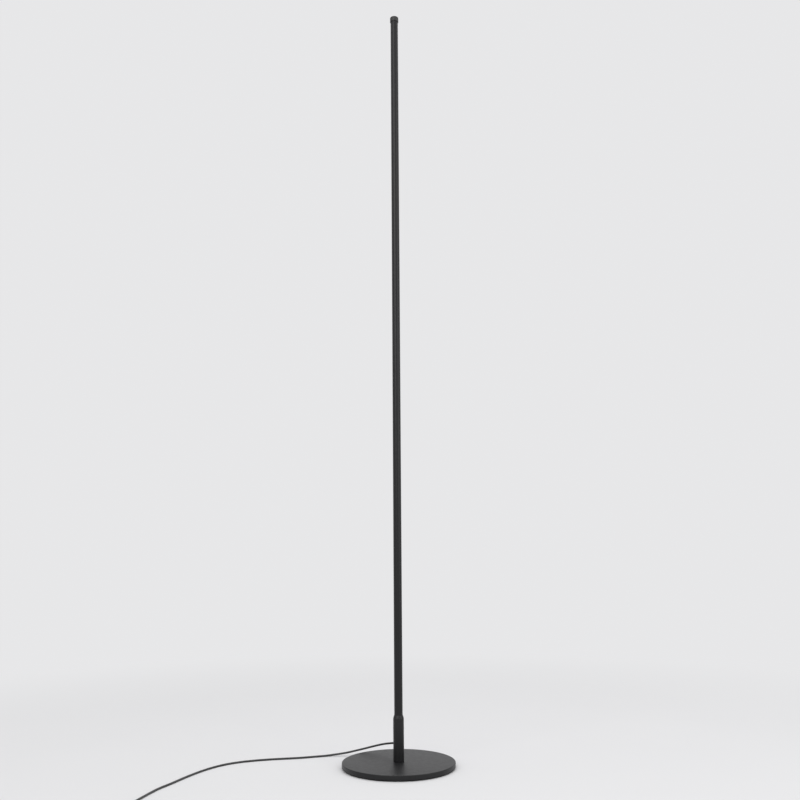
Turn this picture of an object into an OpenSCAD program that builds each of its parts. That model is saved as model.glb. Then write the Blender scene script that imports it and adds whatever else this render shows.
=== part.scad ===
// Corner floor lamp: a long round light bar in a sleeve on a round weighted base.
// The floor is z = 0 and the bar's axis is the Z axis. The bar's light leaves it along +Y,
// towards the corner, and its plain black front looks along -Y.

/* [Lamp] */
// Height from the floor to the top of the cap
lamp_h = 1450; // [1200:5:1600]

/* [Base] */
// Diameter of the round base plate
base_d = 200; // [170:1:260]
// Thickness of the base plate
base_t = 8; // [7:0.5:12]
// Radius that rounds the plate's upper edge
base_edge = 1; // [0.5:0.1:2]
// Thickness of the foam pad under the plate
pad_t = 2; // [1.5:0.5:4]
// Distance from the plate's edge to the pad's edge
pad_inset = 2; // [1:0.5:10]

/* [Base screw] */
// Diameter of the screw's thread
screw_d = 8; // [6:0.5:8]
// Diameter of the screw's low head
screw_head_d = 15; // [13:0.5:16]
// Thickness of the screw's head
screw_head_t = 3.2; // [2.5:0.1:3.4]
// Length of thread in the sleeve's hub
screw_grip = 14; // [10:0.5:15]
// Width across the corners of the screw's hexagon socket
screw_key = 5.8; // [4:0.1:6]
// Diameter of the washer
washer_d = 20; // [18:0.5:22]
// Thickness of the washer
washer_t = 1.5; // [1:0.1:1.6]
// Plate left above the counterbore
plate_skin = 3; // [2.6:0.1:3.4]

/* [Sleeve] */
// Wall of the sleeve
sleeve_wall = 1.9; // [1.5:0.1:3]
// Height of the sleeve above the plate
sleeve_h = 78; // [70:1:110]
// Height of the tapered rim
rim_h = 5.5; // [4:0.5:9]
// Wall left at the top of the rim
rim_lip = 0.3; // [0.3:0.1:1.2]
// Clearance all round the bar in the sleeve
bar_fit = 0.1; // [0.05:0.01:0.15]
// Height of the hub, from the plate to the bar's seat
hub_h = 33; // [32:0.5:40]
// Solid foot of the hub, which holds the thread
hub_foot = 17; // [16:0.5:18]
// Height of the cord's hole above the plate
cord_exit_h = 25; // [24:0.5:26]
// Height of the grub screws above the plate
grub_h = 56; // [46:1:62]
// Diameter of the grub screws
grub_d = 4; // [3:0.5:5]
// Width across the corners of the grub screws' hexagon socket
grub_key = 2.3; // [1.5:0.1:2.4]

/* [Light bar] */
// Diameter of the light bar
bar_d = 15; // [15:0.1:18]
// Wall of the aluminium extrusion
bar_wall = 1.2; // [1:0.05:1.2]
// Thickness of the web that carries the LED strip
web_t = 1.2; // [0.8:0.1:2]
// Height of the slot's edges above the strip's seat
slot_edge = 3; // [2.8:0.1:3.2]
// Thickness of the snap lips inside the slot
lip_t = 0.5; // [0.3:0.05:0.5]
// Height of the snap lips
lip_h = 0.8; // [0.5:0.1:1]
// Wall of the opal diffuser
opal_t = 1.2; // [1:0.05:1.6]
// Thickness of the diffuser's snap legs
leg_t = 0.7; // [0.5:0.05:0.7]
// Flange of the lower end plug
plug_flange_t = 2; // [1.5:0.5:4]
// Depth of the pegs that hold the end plug and the cap in the bar
peg_h = 10; // [6:0.5:12]

/* [LED strip] */
// Width of the strip
strip_w = 8; // [6:0.5:8]
// Thickness of the strip
strip_t = 0.3; // [0.2:0.05:0.5]
// Distance from the bar's lower end to the strip
strip_inset = 13; // [11:0.5:16]
// Side of an LED package
led_w = 5; // [3:0.5:5]
// Height of an LED package
led_t = 1.6; // [1:0.1:1.8]
// Distance between LEDs
led_pitch = 33.3; // [16.6:0.1:50]
// Distance from the sleeve's top to the first LED
led_start = 7; // [5:0.5:15]

/* [Top cap] */
// Wall of the cap's skirt
cap_wall = 0.95; // [0.8:0.05:1.5]
// Height of the cap
cap_h = 10; // [9:0.5:20]
// Thickness of the cap's top
cap_top_t = 3; // [2:0.1:4]
// Radius that rounds the cap's upper edge
cap_round = 1.2; // [1:0.1:3]

/* [Cord] */
// Diameter of the cord
cord_d = 3.5; // [3:0.1:3.6]
// Diameter of a core inside the cord
core_d = 1.1; // [0.8:0.05:1.1]
// Distance between the cores
core_pitch = 1.15; // [1.15:0.05:1.3]
// Length of the strain relief outside the sleeve
relief_l = 16; // [14:0.5:18]
// Diameter of the strain relief where it passes the sleeve
relief_d = 6.2; // [6:0.1:6.6]
// Diameter of the strain relief's tip
relief_tip_d = 4.8; // [4.6:0.1:5.4]
// Diameter of the strain relief's flange inside the sleeve
relief_flange_d = 8.4; // [8:0.1:9]

/* [Cord coil] */
// Radius of the innermost turn
coil_in = 14.5; // [14:0.5:20]
// Distance between turns that lie side by side
coil_step = 4; // [3.95:0.05:5]
// Height from the lower layer to the upper one
coil_layer = 4; // [3.95:0.05:5]
// Thickness of the tie's band
tie_t = 0.5; // [0.4:0.1:1]
// Width of the tie's band
tie_w = 4; // [3:0.5:8]

/* [Controller] */
// Length of the in-line controller's case
case_l = 62; // [62:1:80]
// Width of the case
case_w = 22; // [20:0.5:30]
// Height of the case
case_h = 11; // [11:0.5:14]
// Wall of the case
case_wall = 1.6; // [1.2:0.1:2]
// Radius of the case's corners, seen from above
case_round = 4; // [3:0.5:6]
// Chamfer round the case's flat faces
case_bevel = 0.8; // [0.4:0.1:1]
// Length of the circuit board
board_l = 50; // [48:0.5:52]
// Width of the circuit board
board_w = 16; // [14:0.5:16]
// Thickness of the circuit board
board_t = 1.2; // [1:0.1:1.6]
// Height of the board's underside above the floor
board_z = 4.4; // [4:0.1:4.6]
// Distance from the middle button to its neighbours
button_pitch = 16; // [15:0.5:17]
// Diameter of a button
button_d = 8; // [6:0.5:9]
// Clearance all round a button
button_fit = 0.15; // [0.1:0.05:0.3]
// Height that a button stands out of the case
button_proud = 0.8; // [0.6:0.1:1.5]
// Travel of a button
button_travel = 0.4; // [0.3:0.05:0.45]
// Side of a tactile switch
switch_w = 6; // [5:0.5:6]
// Height of a tactile switch's body
switch_t = 2; // [1.8:0.1:2.2]
// Diameter of a tactile switch's stem
stem_d = 3.4; // [2.5:0.1:4]
// Diameter of the case's screws
case_screw_d = 1.9; // [1.6:0.1:2.2]
// Length of the case's screws under the head
case_screw_l = 6.6; // [5:0.1:7]
// Diameter of the case screws' heads
case_head_d = 3.6; // [3:0.1:3.8]
// Diameter of the posts that the case's screws hold
post_d = 4; // [3.6:0.1:4.4]

/* [Plug] */
// Width of the plug's grip
grip_w = 15.6; // [15:0.1:18]
// Thickness of the plug's grip
grip_t = 8; // [7:0.1:9]
// Length of the plug's grip
grip_l = 24; // [20:0.5:30]
// Width of the plug's metal shell
shell_w = 12; // [11.8:0.1:12.2]
// Thickness of the plug's metal shell
shell_h = 4.5; // [4.4:0.1:4.6]
// Sheet that the shell is folded from
shell_t = 0.3; // [0.25:0.05:0.35]
// Length of the shell outside the grip
shell_out = 12; // [11.5:0.1:13]
// Length of the shell inside the grip
shell_in = 6; // [5:0.5:8]

/* [Hidden] */
$fn = 64;
eps = 0.01; // overlap that makes a cut or a union clean
over = 1; // how far a cut runs past the face that it opens
gap = 0.1; // clearance between parts that are pushed together
slip = 0.05; // clearance between round parts that fit in each other
screw_gap = 0.2; // clearance all round a screw that passes through a plate

// Heights of the lamp
base_top = pad_t + base_t;
sleeve_top = base_top + sleeve_h;
hub_top = base_top + hub_h;
bar_low = hub_top + plug_flange_t;
bar_high = lamp_h - cap_top_t;
cord_z = base_top + cord_exit_h;
counterbore_z = base_top - plate_skin;
washer_z = counterbore_z - washer_t;
head_z = washer_z - screw_head_t;
counterbore_d = washer_d + 2;
pad_hole_d = counterbore_d + 2;

// Radii of the sleeve and the bar
bar_r = bar_d / 2;
bar_in_r = bar_r - bar_wall;
lip_r = bar_in_r - lip_t;
bore_r = bar_r + bar_fit;
sleeve_r = bore_r + sleeve_wall;

// Snap legs of the diffuser
function chord_x(r, y) = sqrt(r * r - y * y);
leg_out = chord_x(lip_r, slot_edge) - 1.5 * gap;
leg_in = leg_out - leg_t;
hook_top = slot_edge - lip_h - 1.5 * gap;
hook_t = 0.8;
hook_out = chord_x(bar_in_r, hook_top) - 2.5 * gap;

// LEDs
led_low = sleeve_top + led_start;
led_high = lamp_h - cap_h - led_w;
led_count = floor((led_high - led_low) / led_pitch) + 1;
strip_low = bar_low + strip_inset;
strip_end_gap = 7;
lens_share = 0.8;
lens_depth = 0.3;
capacitor = [1.2, 2, 0.8];

// Strain relief in the sleeve's back, measured along +Y from the sleeve's axis
flange_t = 1.2;
flange_out_y = chord_x(bore_r, relief_flange_d / 2) - slip;
flange_in_y = flange_out_y - flange_t;
collar_t = 1.7;
collar_d = 9;
clamp_w = 2.2;
clamp_d = 6.6;
stripped = 0.3;
tail_y = flange_in_y - gap - clamp_w - stripped;
relief_end = sleeve_r + relief_l;

// Route of the free cord, chosen by hand: out of the sleeve, down to the floor behind the lamp
// and away to its left
port_z = case_h / 2;
RUN = [[0, relief_end, cord_z], [0, 30, cord_z], [-1, 37, 34.2], [-4, 45, 32.4], [-10, 52, 30.3],
    [-18, 59, 28.2], [-28, 65, 26], [-39, 70, 23], [-52, 74.5, 19.2], [-66, 78, 15.1],
    [-82, 81.5, 10.8], [-98, 84, 6.8], [-113, 85, 4.2], [-128, 83, 2.6], [-142, 79, 1.8],
    [-156, 74, 1.75], [-184, 64, 1.75], [-213, 57, 1.75], [-241, 50, 1.75], [-268, 40, 1.75],
    [-294, 26, 1.75], [-317, 4, 1.75], [-337, -29, 1.75], [-354, -71, 1.75], [-368, -116, 1.75],
    [-381, -155, 1.75], [-390, -203, 1.75], [-393, -222, 1.75], [-395, -232, 2.4],
    [-396.5, -240, 4.6], [-397, -247, port_z], [-397, -251, port_z]];

// Controller, in line with the cord's end
nose_l = 10;
nose_tip_r = 2.3;
nose_root_r = 2.9;
nose_neck_r = 2.5;
nose_collar_r = 3.5;
nose_collar_t = 1.6;
case_x = RUN[len(RUN) - 1].x;
case_y = RUN[len(RUN) - 1].y - nose_l - case_l / 2;
lid_z = case_h - case_wall;
board_top = board_z + board_t;
switch_top = board_top + switch_t;
well_depth = 1.5;
stem_low = switch_top - well_depth + button_travel + gap;
flange_top = lid_z - screw_gap;
button_flange_t = 0.8;
button_low = flange_top - button_flange_t;
button_flange_d = button_d + 1.2;
button_edge = 0.5;
post_y = button_pitch / 2;
boss_d = 6;
case_head_t = 1.1;
case_head_z = 0.2;
BUTTON_Y = [button_pitch, 0, -button_pitch];

// Cord from the controller to the coil
lead_l = 25;
coil_z = tie_t + cord_d / 2 + gap;
lead_y0 = case_y - case_l / 2 - nose_l;
lead_y1 = lead_y0 - lead_l;
LEAD = [[case_x, lead_y0, port_z], [case_x, lead_y0 - 4, port_z], [case_x, lead_y0 - 9, 4.9],
    [case_x, lead_y0 - 14, 3.6], [case_x, lead_y0 - 18, 2.6], [case_x, lead_y1 + 3.5, coil_z],
    [case_x, lead_y1, coil_z]];

// Coil: two layers, wound inwards below and outwards above
coil_turns = 6.5;
coil_rings = 24;
coil_half = coil_turns / 2;
coil_out = coil_in + coil_step * coil_half;
coil_x = case_x + coil_out;
coil_y = lead_y1 - cord_d;
function ramp(t) = t < 0 ? 0 : t > 1 ? 1 : t * t * (3 - 2 * t);
function coil_point(u) =
    let (r = coil_in + coil_step * abs(u), a = 180 + 360 * (u + coil_half))
    [coil_x + r * cos(a), coil_y + r * sin(a), coil_z + coil_layer * ramp(2 * u + 0.5)];
COIL = concat([[case_x, lead_y1, coil_z]],
    [for (i = [0 : coil_turns * coil_rings]) coil_point(i / coil_rings - coil_half)],
    [[coil_x + coil_out, coil_y + cord_d, coil_z + coil_layer]]);

// Cord from the coil to the plug, and the plug's place
plug_z = grip_t / 2;
end_x = coil_x + coil_out;
end_y = coil_y + cord_d;
end_z = coil_z + coil_layer;
plug_nose_y = end_y + 22;
END = [[end_x, end_y, end_z], [end_x, end_y + 3.5, end_z], [end_x, end_y + 8, 5.8],
    [end_x, end_y + 13, 4.7], [end_x, plug_nose_y - 3.5, plug_z], [end_x, plug_nose_y, plug_z]];
grip_y = plug_nose_y + nose_l;
plug_tip_y = grip_y + grip_l + shell_out;
tongue_t = 1.9;
tongue_w = shell_w - 2 * shell_t - 2 * slip;
tongue_z = -shell_h / 2 + shell_t;
tongue_back = 1;

// Lengths and clearances of the cord
function length_of(p) = norm_sum([for (i = [1 : len(p) - 1]) norm(p[i] - p[i - 1])]);
function norm_sum(v) = v * [for (i = [1 : len(v)]) 1];
function least_gap(p, skip) =
    min([for (i = [0 : len(p) - skip - 1]) for (j = [i + skip : len(p) - 1]) norm(p[i] - p[j])])
    - cord_d;
echo(coil_least_gap = least_gap(COIL, coil_rings / 2));
echo(cord_length = length_of(smooth(RUN)) + length_of(LEAD) + length_of(COIL) + length_of(END));

// A curve through the points of a route, with one ring between each two of them, kept on the floor
function lifted(p) = [p.x, p.y, max(p.z, cord_d / 2)];
function between(a, b, c, d) = lifted((9 * (b + c) - a - d) / 16);
function smooth(p) = [for (i = [0 : 2 * len(p) - 2])
    let (k = floor(i / 2), last = len(p) - 1)
    i % 2 == 0 ? p[k]
    : k == 0 || k == last - 1 ? (p[k] + p[k + 1]) / 2
    : between(p[k - 1], p[k], p[k + 1], p[k + 2])];
function unit(v) = v / norm(v);
function heading(p, i) = unit(p[min(i + 1, len(p) - 1)] - p[max(i - 1, 0)]);

// A tube along a path, with flat ends square to it
module tube(path, d, sides, side_on = [0, 0, 1]) {
    last = len(path) - 1;
    points = [for (i = [0 : last])
        let (t = heading(path, i), s = unit(cross(t, side_on)), u = cross(s, t))
        for (k = [0 : sides - 1])
            path[i] + d / 2 * (cos(360 * k / sides) * s + sin(360 * k / sides) * u)];
    walls = [for (i = [0 : last - 1]) for (k = [0 : sides - 1])
        let (a = i * sides + k, b = i * sides + (k + 1) % sides)
        each [[a, b, b + sides], [a, b + sides, a + sides]]];
    ends = [for (k = [1 : sides - 2])
        each [[0, k + 1, k], [last * sides, last * sides + k, last * sides + k + 1]]];
    polyhedron(points, concat(walls, ends));
}

// Turns +Z towards +Y
module along_y(y = 0, z = 0) { translate([0, y, z]) rotate([-90, 0, 0]) children(); }

// A disc or post with a rounded upper edge
module rounded_disc(r, h, e) {
    rotate_extrude() {
        square([r - e, h]);
        square([r, h - e]);
        translate([r - e, h - e]) intersection() {
            circle(e);
            square(e);
        }
    }
}

// Half of a round bar's section below a line
module below(r, y) {
    intersection() {
        circle(r);
        translate([-r, -r]) square([2 * r, r + y]);
    }
}

// A rectangle with round corners
module rounded(w, l, r) {
    square([w - 2 * r, l], center = true);
    square([w, l - 2 * r], center = true);
    for (x = [-1, 1], y = [-1, 1]) translate([x * (w / 2 - r), y * (l / 2 - r)]) circle(r);
}

module base_pad() {
    color("#1b1b1d") difference() {
        cylinder(h = pad_t, d = base_d - 2 * pad_inset, $fn = 128);
        translate([0, 0, -over]) cylinder(h = pad_t + 2 * over, d = pad_hole_d);
    }
}

module base_plate() {
    color("#202024") translate([0, 0, pad_t]) difference() {
        rounded_disc(base_d / 2, base_t, base_edge, $fn = 128);
        translate([0, 0, -over]) cylinder(h = base_t - plate_skin + over, d = counterbore_d);
        translate([0, 0, -over]) cylinder(h = base_t + 2 * over, d = screw_d + 3 * screw_gap);
    }
}

module base_washer() {
    color("silver") translate([0, 0, washer_z]) difference() {
        cylinder(h = washer_t, d = washer_d);
        translate([0, 0, -over]) cylinder(h = washer_t + 2 * over, d = screw_d + 2 * screw_gap);
    }
}

module base_screw() {
    socket_depth = screw_head_t * 0.6;
    color("silver") difference() {
        union() {
            translate([0, 0, head_z]) cylinder(h = screw_head_t, d = screw_head_d);
            translate([0, 0, head_z + eps])
                cylinder(h = base_top + screw_grip - head_z - eps, d = screw_d);
        }
        translate([0, 0, head_z - over]) cylinder(h = socket_depth + over, d = screw_key, $fn = 6);
    }
}

module sleeve() {
    rim_r = bore_r + rim_lip;
    color("#222226") difference() {
        rotate_extrude() polygon([[bore_r, base_top], [sleeve_r, base_top],
            [sleeve_r, sleeve_top - rim_h], [rim_r, sleeve_top], [bore_r, sleeve_top]]);
        along_y(0, cord_z) cylinder(h = sleeve_r + over, d = relief_d + 2 * gap);
        translate([0, 0, base_top + grub_h]) rotate([0, 90, 0])
            cylinder(h = 2 * (sleeve_r + over), d = grub_d + 2 * slip, center = true);
    }
}

module sleeve_hub() {
    seat_y = -2.5;
    bore_end = 1;
    color("silver") translate([0, 0, base_top]) difference() {
        cylinder(h = hub_h, r = bore_r - slip);
        translate([0, 0, -over])
            cylinder(h = screw_grip + bore_end + over, d = screw_d + 2 * slip);
        translate([-sleeve_r, seat_y, hub_foot]) cube([2 * sleeve_r, 2 * sleeve_r, hub_h]);
    }
}

module grub_screws() {
    tip_gap = 0.02;
    socket_floor = 0.7;
    color("#2c2c2e") for (side = [0, 180]) rotate([0, 0, side])
        translate([bar_r + tip_gap, 0, base_top + grub_h]) rotate([0, 90, 0]) difference() {
            cylinder(h = bar_fit + sleeve_wall, d = grub_d);
            translate([0, 0, socket_floor]) cylinder(h = sleeve_wall + over, d = grub_key, $fn = 6);
        }
}

module cord_relief() {
    grooves = 4;
    groove_w = 1.2;
    collar_skirt = 2;
    first_groove = sleeve_r + collar_t + 1.5;
    groove_pitch = (relief_end - first_groove - 2) / grooves;
    groove_floor_d = relief_tip_d - 0.3;
    color("#18181a") difference() {
        union() {
            difference() {
                along_y(sleeve_r - collar_skirt, cord_z)
                    cylinder(h = collar_t + collar_skirt, d = collar_d);
                translate([0, 0, cord_z - collar_d]) cylinder(h = 2 * collar_d, r = sleeve_r + slip);
            }
            along_y(flange_in_y, cord_z) cylinder(h = flange_t, d = relief_flange_d);
            along_y(flange_in_y, cord_z)
                cylinder(h = sleeve_r + collar_t - flange_in_y, d = relief_d);
            along_y(sleeve_r + collar_t - eps, cord_z)
                cylinder(h = relief_l - collar_t + eps, d1 = relief_d, d2 = relief_tip_d);
        }
        along_y(0, cord_z) cylinder(h = relief_end + over, d = cord_d + 2 * slip);
        for (i = [0 : grooves - 1]) along_y(first_groove + i * groove_pitch, cord_z) difference() {
            cylinder(h = groove_w, d = relief_d + over);
            translate([0, 0, -over]) cylinder(h = groove_w + 2 * over, d = groove_floor_d);
        }
    }
}

module cord_tail() {
    color("#151517") along_y(tail_y, cord_z) cylinder(h = relief_end - tail_y, d = cord_d);
}

module cord_clamp() {
    color("#e8e4d8") along_y(flange_in_y - gap - clamp_w, cord_z) difference() {
        cylinder(h = clamp_w, d = clamp_d);
        translate([0, 0, -over]) cylinder(h = clamp_w + 2 * over, d = cord_d + 2 * slip);
    }
}

module core_wires() {
    pad_y = strip_t + core_d / 2;
    back_y = -0.9;
    up = bar_low - cord_z;
    color("#b8323a") for (k = [-1 : 1]) translate([k * core_pitch, 0, cord_z])
        tube([[0, tail_y, 0], [0, tail_y - core_d, 0], [0, 0.4, 0.4], [0, -0.5, 1.4],
            [0, back_y, 3], [0, back_y, up * 0.55], [0, (back_y + pad_y) / 2, up * 0.75],
            [0, pad_y, up], [0, pad_y, up + 3], [0, pad_y, up + strip_inset + 4]],
            core_d, 8, [1, 0, 0]);
}

module light_bar() {
    color("#1d1d20") translate([0, 0, bar_low]) linear_extrude(bar_high - bar_low) {
        difference() {
            below(bar_r, slot_edge);
            below(bar_in_r, bar_r);
        }
        intersection() {
            circle(bar_r - bar_wall / 2);
            translate([-bar_r, -web_t]) square([bar_d, web_t]);
        }
        difference() {
            intersection() {
                below(bar_in_r + eps, slot_edge);
                translate([-bar_r, slot_edge - lip_h]) square([bar_d, lip_h]);
            }
            circle(lip_r);
        }
    }
}

module front_peg(h) {
    linear_extrude(h) below(bar_in_r - gap, -web_t - gap);
}

module bar_end_plug() {
    passage = [4.6, 4.4];
    color("#2a2a2c") difference() {
        union() {
            translate([0, 0, hub_top]) cylinder(h = plug_flange_t, r = bar_r - slip);
            translate([0, 0, bar_low - eps]) front_peg(peg_h + eps);
        }
        translate([-passage.x / 2, -web_t + gap, hub_top - over])
            cube([passage.x, passage.y, plug_flange_t + 2 * over]);
    }
}

module diffuser() {
    color("#f4f2ec") translate([0, 0, bar_low]) linear_extrude(bar_high - bar_low) {
        difference() {
            circle(bar_r);
            circle(bar_r - opal_t);
            translate([-bar_d, -bar_d]) square([2 * bar_d, bar_d + slot_edge + slip]);
        }
        for (side = [0, 1]) mirror([side, 0]) {
            translate([leg_in, hook_top - hook_t])
                square([leg_t, chord_x(bar_r - opal_t / 2, leg_out) - hook_top + hook_t]);
            translate([leg_in, hook_top - hook_t]) square([hook_out - leg_in, hook_t]);
        }
    }
}

module led_strip() {
    color("white") translate([-strip_w / 2, 0, strip_low])
        cube([strip_w, strip_t, bar_high - strip_end_gap - strip_low]);
}

module leds() {
    color("#fdf8d8") for (i = [0 : led_count - 1])
        translate([0, strip_t, led_low + i * led_pitch]) difference() {
            translate([-led_w / 2, 0, -led_w / 2]) cube([led_w, led_t, led_w]);
            along_y(led_t - lens_depth) cylinder(h = over, d = led_w * lens_share, $fn = 24);
        }
}

module strip_capacitors() {
    color("#b49a72") for (i = [0 : led_count - 1])
        translate([-capacitor.x / 2, strip_t, led_low + i * led_pitch + led_w])
            cube([capacitor.x, capacitor.z, capacitor.y]);
}

module top_cap() {
    cap_r = bar_r + slip + cap_wall;
    color("#141416") {
        translate([0, 0, lamp_h - cap_h]) difference() {
            rounded_disc(cap_r, cap_h, cap_round);
            translate([0, 0, -over]) cylinder(h = cap_h - cap_top_t + over, r = bar_r + slip);
        }
        translate([0, 0, bar_high - peg_h]) front_peg(peg_h + eps);
    }
}

module cord_run() { color("#131315") tube(smooth(RUN), cord_d, 8); }

module cord_lead() { color("#131315") tube(LEAD, cord_d, 8); }

module cord_coil() { color("#131315") tube(COIL, cord_d, 6); }

module cord_end() { color("#131315") tube(END, cord_d, 8); }

module coil_tie() {
    band_r = coil_in + coil_step * (coil_turns - 0.5) / 4;
    slack = 0.3;
    inner_w = coil_step * 2 + cord_d + 2 * slack;
    inner_h = end_z + cord_d / 2 + slack - tie_t;
    corner = 1.5;
    twist_l = 9;
    twist_share = 0.6;
    color("#101012") translate([coil_x, coil_y + band_r, 0]) {
        translate([tie_w / 2, 0, tie_t + inner_h / 2]) rotate([90, 0, -90])
            linear_extrude(tie_w) difference() {
                rounded(inner_w + 2 * tie_t, inner_h + 2 * tie_t, corner);
                rounded(inner_w, inner_h, corner - tie_t);
            }
        translate([0, inner_w / 2 + tie_t - eps, inner_h / 2]) rotate([-90, 0, 0])
            linear_extrude(twist_l, twist = 540, slices = 18, segments = 4)
                square([tie_w * twist_share, 2 * tie_t], center = true);
    }
}

// Half of the controller's hollow case, with its flat face down
module case_half(h) {
    thin = eps;
    difference() {
        union() {
            hull() {
                linear_extrude(thin)
                    rounded(case_w - 2 * case_bevel, case_l - 2 * case_bevel, case_round - case_bevel);
                translate([0, 0, case_bevel]) linear_extrude(thin) rounded(case_w, case_l, case_round);
            }
            translate([0, 0, case_bevel]) linear_extrude(h - case_bevel)
                rounded(case_w, case_l, case_round);
        }
        translate([0, 0, case_wall]) linear_extrude(h)
            rounded(case_w - 2 * case_wall, case_l - 2 * case_wall, case_round - case_wall);
    }
}

module case_ports() {
    along_y(-case_l / 2 - over, port_z)
        cylinder(h = case_l + 2 * over, r = nose_neck_r + slip);
}

module at_case() { translate([case_x, case_y, 0]) children(); }

module at_posts() { for (y = [-post_y, post_y]) translate([0, y, 0]) children(); }

module case_bottom() {
    color("#161618") at_case() difference() {
        union() {
            case_half(port_z);
            at_posts() translate([0, 0, case_wall - eps])
                cylinder(h = board_z - case_wall + eps, d = boss_d);
        }
        case_ports();
        at_posts() translate([0, 0, -over])
            cylinder(h = board_z + 2 * over, d = case_screw_d + 2 * screw_gap);
        at_posts() translate([0, 0, -over])
            cylinder(h = case_head_z + case_head_t + over, d = case_head_d + 2 * screw_gap);
    }
}

module case_top() {
    thread_end = case_head_z + case_head_t + case_screw_l + 0.5;
    post_low = board_z + gap;
    color("#161618") at_case() difference() {
        union() {
            translate([0, 0, case_h]) mirror([0, 0, 1]) case_half(case_h - port_z);
            at_posts() translate([0, 0, post_low]) cylinder(h = lid_z - post_low + eps, d = post_d);
        }
        case_ports();
        at_posts() translate([0, 0, post_low - over])
            cylinder(h = thread_end - post_low + over, d = case_screw_d + 2 * slip);
        for (y = BUTTON_Y) translate([0, y, lid_z - over])
            cylinder(h = case_wall + 2 * over, d = button_d + 2 * button_fit);
    }
}

module case_screws() {
    cross = [2.2, 0.5, 0.6];
    color("silver") at_case() at_posts() difference() {
        union() {
            translate([0, 0, case_head_z]) cylinder(h = case_head_t, d = case_head_d);
            translate([0, 0, case_head_z + eps])
                cylinder(h = case_head_t + case_screw_l - eps, d = case_screw_d);
        }
        for (turn = [0, 90]) rotate([0, 0, turn])
            translate([-cross.x / 2, -cross.y / 2, case_head_z - over])
                cube([cross.x, cross.y, cross.z + over]);
    }
}

module controller_board() {
    color("#1f6b3a") at_case() difference() {
        translate([-board_w / 2, -board_l / 2, board_z]) cube([board_w, board_l, board_t]);
        at_posts() translate([0, 0, board_z - over])
            cylinder(h = board_t + 2 * over, d = post_d + 2 * screw_gap);
    }
}

module controller_parts() {
    chip = [4, 5, 1.4];
    small = [1.6, 3, 1];
    chip_x = 3.2;
    color("#222222") at_case() translate([0, 0, board_top]) {
        translate([chip_x, post_y - chip.y / 2, 0]) cube(chip);
        translate([-chip_x - small.x, post_y - small.y / 2, 0]) cube(small);
        translate([-chip_x - small.x, -post_y - small.y / 2, 0]) cube(small);
        translate([chip_x, -post_y - small.y / 2, 0]) cube(small);
    }
}

module tact_switches() {
    color("#303030") at_case() for (y = BUTTON_Y) translate([0, y, board_top]) difference() {
        translate([-switch_w / 2, -switch_w / 2, 0]) cube([switch_w, switch_w, switch_t]);
        translate([0, 0, switch_t - well_depth])
            cylinder(h = well_depth + over, d = stem_d + 2 * gap);
    }
}

module stem(index) {
    color("#8a8a8a") at_case() translate([0, BUTTON_Y[index], stem_low])
        cylinder(h = button_low - stem_low, d = stem_d);
}

module button(index) {
    color("#3a3a3e") at_case() translate([0, BUTTON_Y[index], button_low]) {
        cylinder(h = button_flange_t, d = button_flange_d);
        translate([0, 0, button_flange_t - eps])
            rounded_disc(button_d / 2, case_h + button_proud - flange_top + eps, button_edge);
    }
}

module stem_power() { stem(0); }
module stem_mode() { stem(1); }
module stem_speed() { stem(2); }
module button_power() { button(0); }
module button_mode() { button(1); }
module button_speed() { button(2); }

// A moulded strain relief, with its root at 0 and its tip nose_l away along +Z
module nose() {
    cylinder(h = nose_l, r1 = nose_root_r, r2 = nose_tip_r);
}

// The same, trapped in the wall of the controller's case
module case_nose() {
    collar_z = -case_wall - gap - nose_collar_t;
    nose();
    translate([0, 0, collar_z]) cylinder(h = -collar_z + eps, r = nose_neck_r);
    translate([0, 0, collar_z]) cylinder(h = nose_collar_t, r = nose_collar_r);
}

module relief_in() {
    color("#18181a") translate([case_x, case_y, 0]) along_y(case_l / 2, port_z) case_nose();
}

module relief_out() {
    color("#18181a") translate([case_x, case_y, 0]) mirror([0, 1, 0])
        along_y(case_l / 2, port_z) case_nose();
}

module controller_wires() {
    from_y = case_l / 2 - case_wall - gap - nose_collar_t;
    on_board = 3;
    to_y = board_l / 2 - on_board;
    color("#b8323a") at_case() for (side = [0, 1], k = [-1 : 1]) mirror([0, side, 0])
        translate([k * core_pitch, 0, 0])
            along_y(to_y, board_top + core_d / 2) cylinder(h = from_y - to_y, d = core_d, $fn = 16);
}

module plug_grip() {
    grip_round = 2.5;
    color("#161618") translate([end_x, 0, plug_z]) difference() {
        union() {
            translate([0, grip_y + eps, 0]) rotate([180, 0, 0]) along_y() nose();
            along_y(grip_y) linear_extrude(grip_l) rounded(grip_w, grip_t, grip_round);
        }
        translate([-shell_w / 2 - slip, grip_y + grip_l - shell_in - gap, -shell_h / 2 - slip])
            cube([shell_w + 2 * slip, shell_in + gap + over, shell_h + 2 * slip]);
    }
}

module plug_shell() {
    window = 2.5;
    window_x = 2.6;
    window_back = 7.2;
    back_y = plug_tip_y - shell_out - shell_in;
    color("silver") translate([end_x, 0, plug_z]) difference() {
        translate([-shell_w / 2, back_y, -shell_h / 2]) cube([shell_w, shell_out + shell_in, shell_h]);
        translate([-shell_w / 2 + shell_t, back_y - over, -shell_h / 2 + shell_t])
            cube([shell_w - 2 * shell_t, shell_out + shell_in + 2 * over, shell_h - 2 * shell_t]);
        for (x = [-window_x, window_x])
            translate([x - window / 2, plug_tip_y - window_back, -shell_h])
                cube([window, window, 2 * shell_h]);
    }
}

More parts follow.
